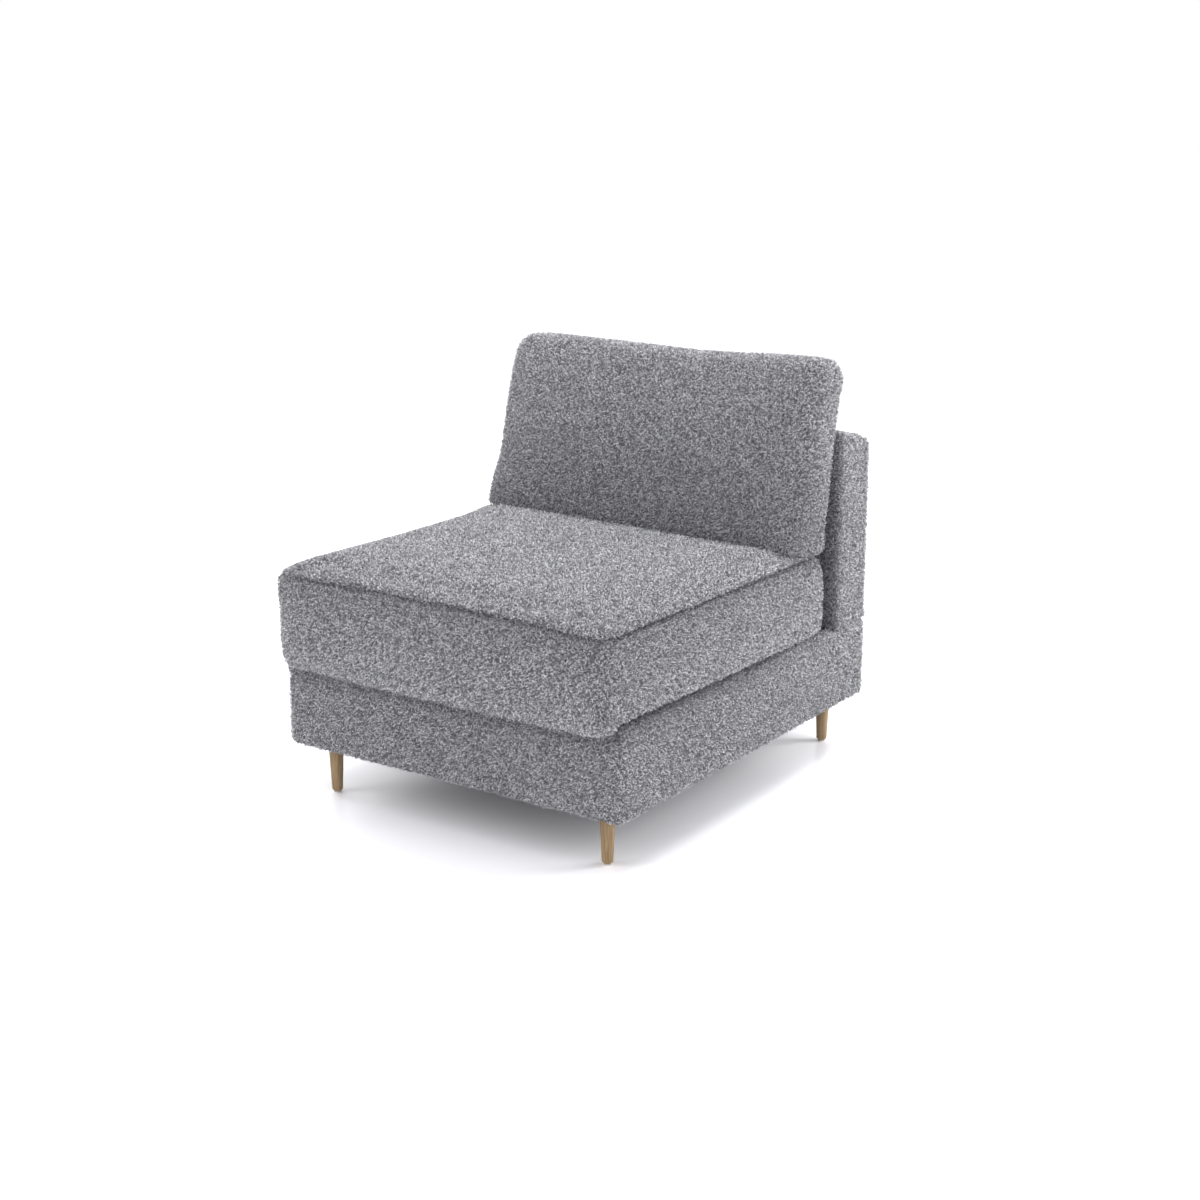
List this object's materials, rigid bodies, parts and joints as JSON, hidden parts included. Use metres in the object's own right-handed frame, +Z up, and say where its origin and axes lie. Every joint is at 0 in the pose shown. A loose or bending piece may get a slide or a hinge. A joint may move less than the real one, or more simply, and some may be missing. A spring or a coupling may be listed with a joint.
{
  "type": "armless sofa",
  "caption": "Armless upholstered seat with a loose boxed seat cushion, a loose back cushion leaning on a low upholstered back, and short tapered round wooden legs.",
  "frame": {"origin": "on the floor, under the middle of the whole object's box", "axes": "+Z up, the seat's front faces -Y, +X is to the right of a viewer who faces the front"},
  "size_m": [0.762, 0.934, 0.8045],
  "materials": {
    "nubby_fabric": "matte",
    "foam": "matte",
    "fibre": "matte",
    "lining": "matte",
    "zip_tape": "matte",
    "leg_wood": "satin",
    "frame_wood": "matte",
    "steel": "satin",
    "plastic": "matte"
  },
  "bodies": {
    "frame": {"front_rail": "frame_wood", "rear_rail": "frame_wood", "left_rail": "frame_wood", "right_rail": "frame_wood", "spring_rail": "frame_wood", "back_sill": "frame_wood", "centre_stretcher": "frame_wood", "corner_block_front_left": "frame_wood", "corner_block_front_right": "frame_wood", "corner_block_rear_left": "frame_wood", "corner_block_rear_right": "frame_wood", "prong_nuts": "steel", "frame_screws": "steel", "seat_springs": "steel", "spring_clips": "plastic", "deck_cloth": "lining", "deck_pad": "foam", "base_padding": "foam", "base_cover": "nubby_fabric", "dust_cover": "lining", "leg_front_left": "leg_wood", "leg_front_right": "leg_wood", "leg_rear_left": "leg_wood", "leg_rear_right": "leg_wood", "leg_bolts": "steel", "leg_glides": "plastic", "back_post_left": "frame_wood", "back_post_right": "frame_wood", "back_post_centre": "frame_wood", "back_top_rail": "frame_wood", "back_bottom_rail": "frame_wood", "back_webbing": "lining", "back_panel": "frame_wood", "back_padding": "foam", "back_cover": "nubby_fabric", "back_bolts": "steel", "back_washers": "steel", "back_nuts": "steel"},
    "seat_cushion": {"seat_cushion_cover": "nubby_fabric", "seat_cushion_wrap": "fibre", "seat_cushion_core": "foam", "seat_zip_tape": "zip_tape"},
    "seat_zip": {"seat_zip_slider": "steel"},
    "back_cushion": {"back_cushion_cover": "nubby_fabric", "back_cushion_casing": "lining", "back_cushion_fill": "fibre", "back_zip_tape": "zip_tape"},
    "back_zip": {"back_zip_slider": "steel"}
  },
  "joints": [
    {"name": "seat_lift", "type": "slide", "parent": "frame", "child": "seat_cushion", "axis": [0, 0, 1], "range_m": [0, 0.2]},
    {"name": "back_lift", "type": "slide", "parent": "seat_cushion", "child": "back_cushion", "axis": [0, 0, 1], "range_m": [0, 0.3]},
    {"name": "seat_zip_slide", "type": "slide", "parent": "seat_cushion", "child": "seat_zip", "axis": [-1, 0, 0], "range_m": [0, 0.57]},
    {"name": "back_zip_slide", "type": "slide", "parent": "back_cushion", "child": "back_zip", "axis": [-1, 0, 0], "range_m": [0, 0.57]}
  ]
}
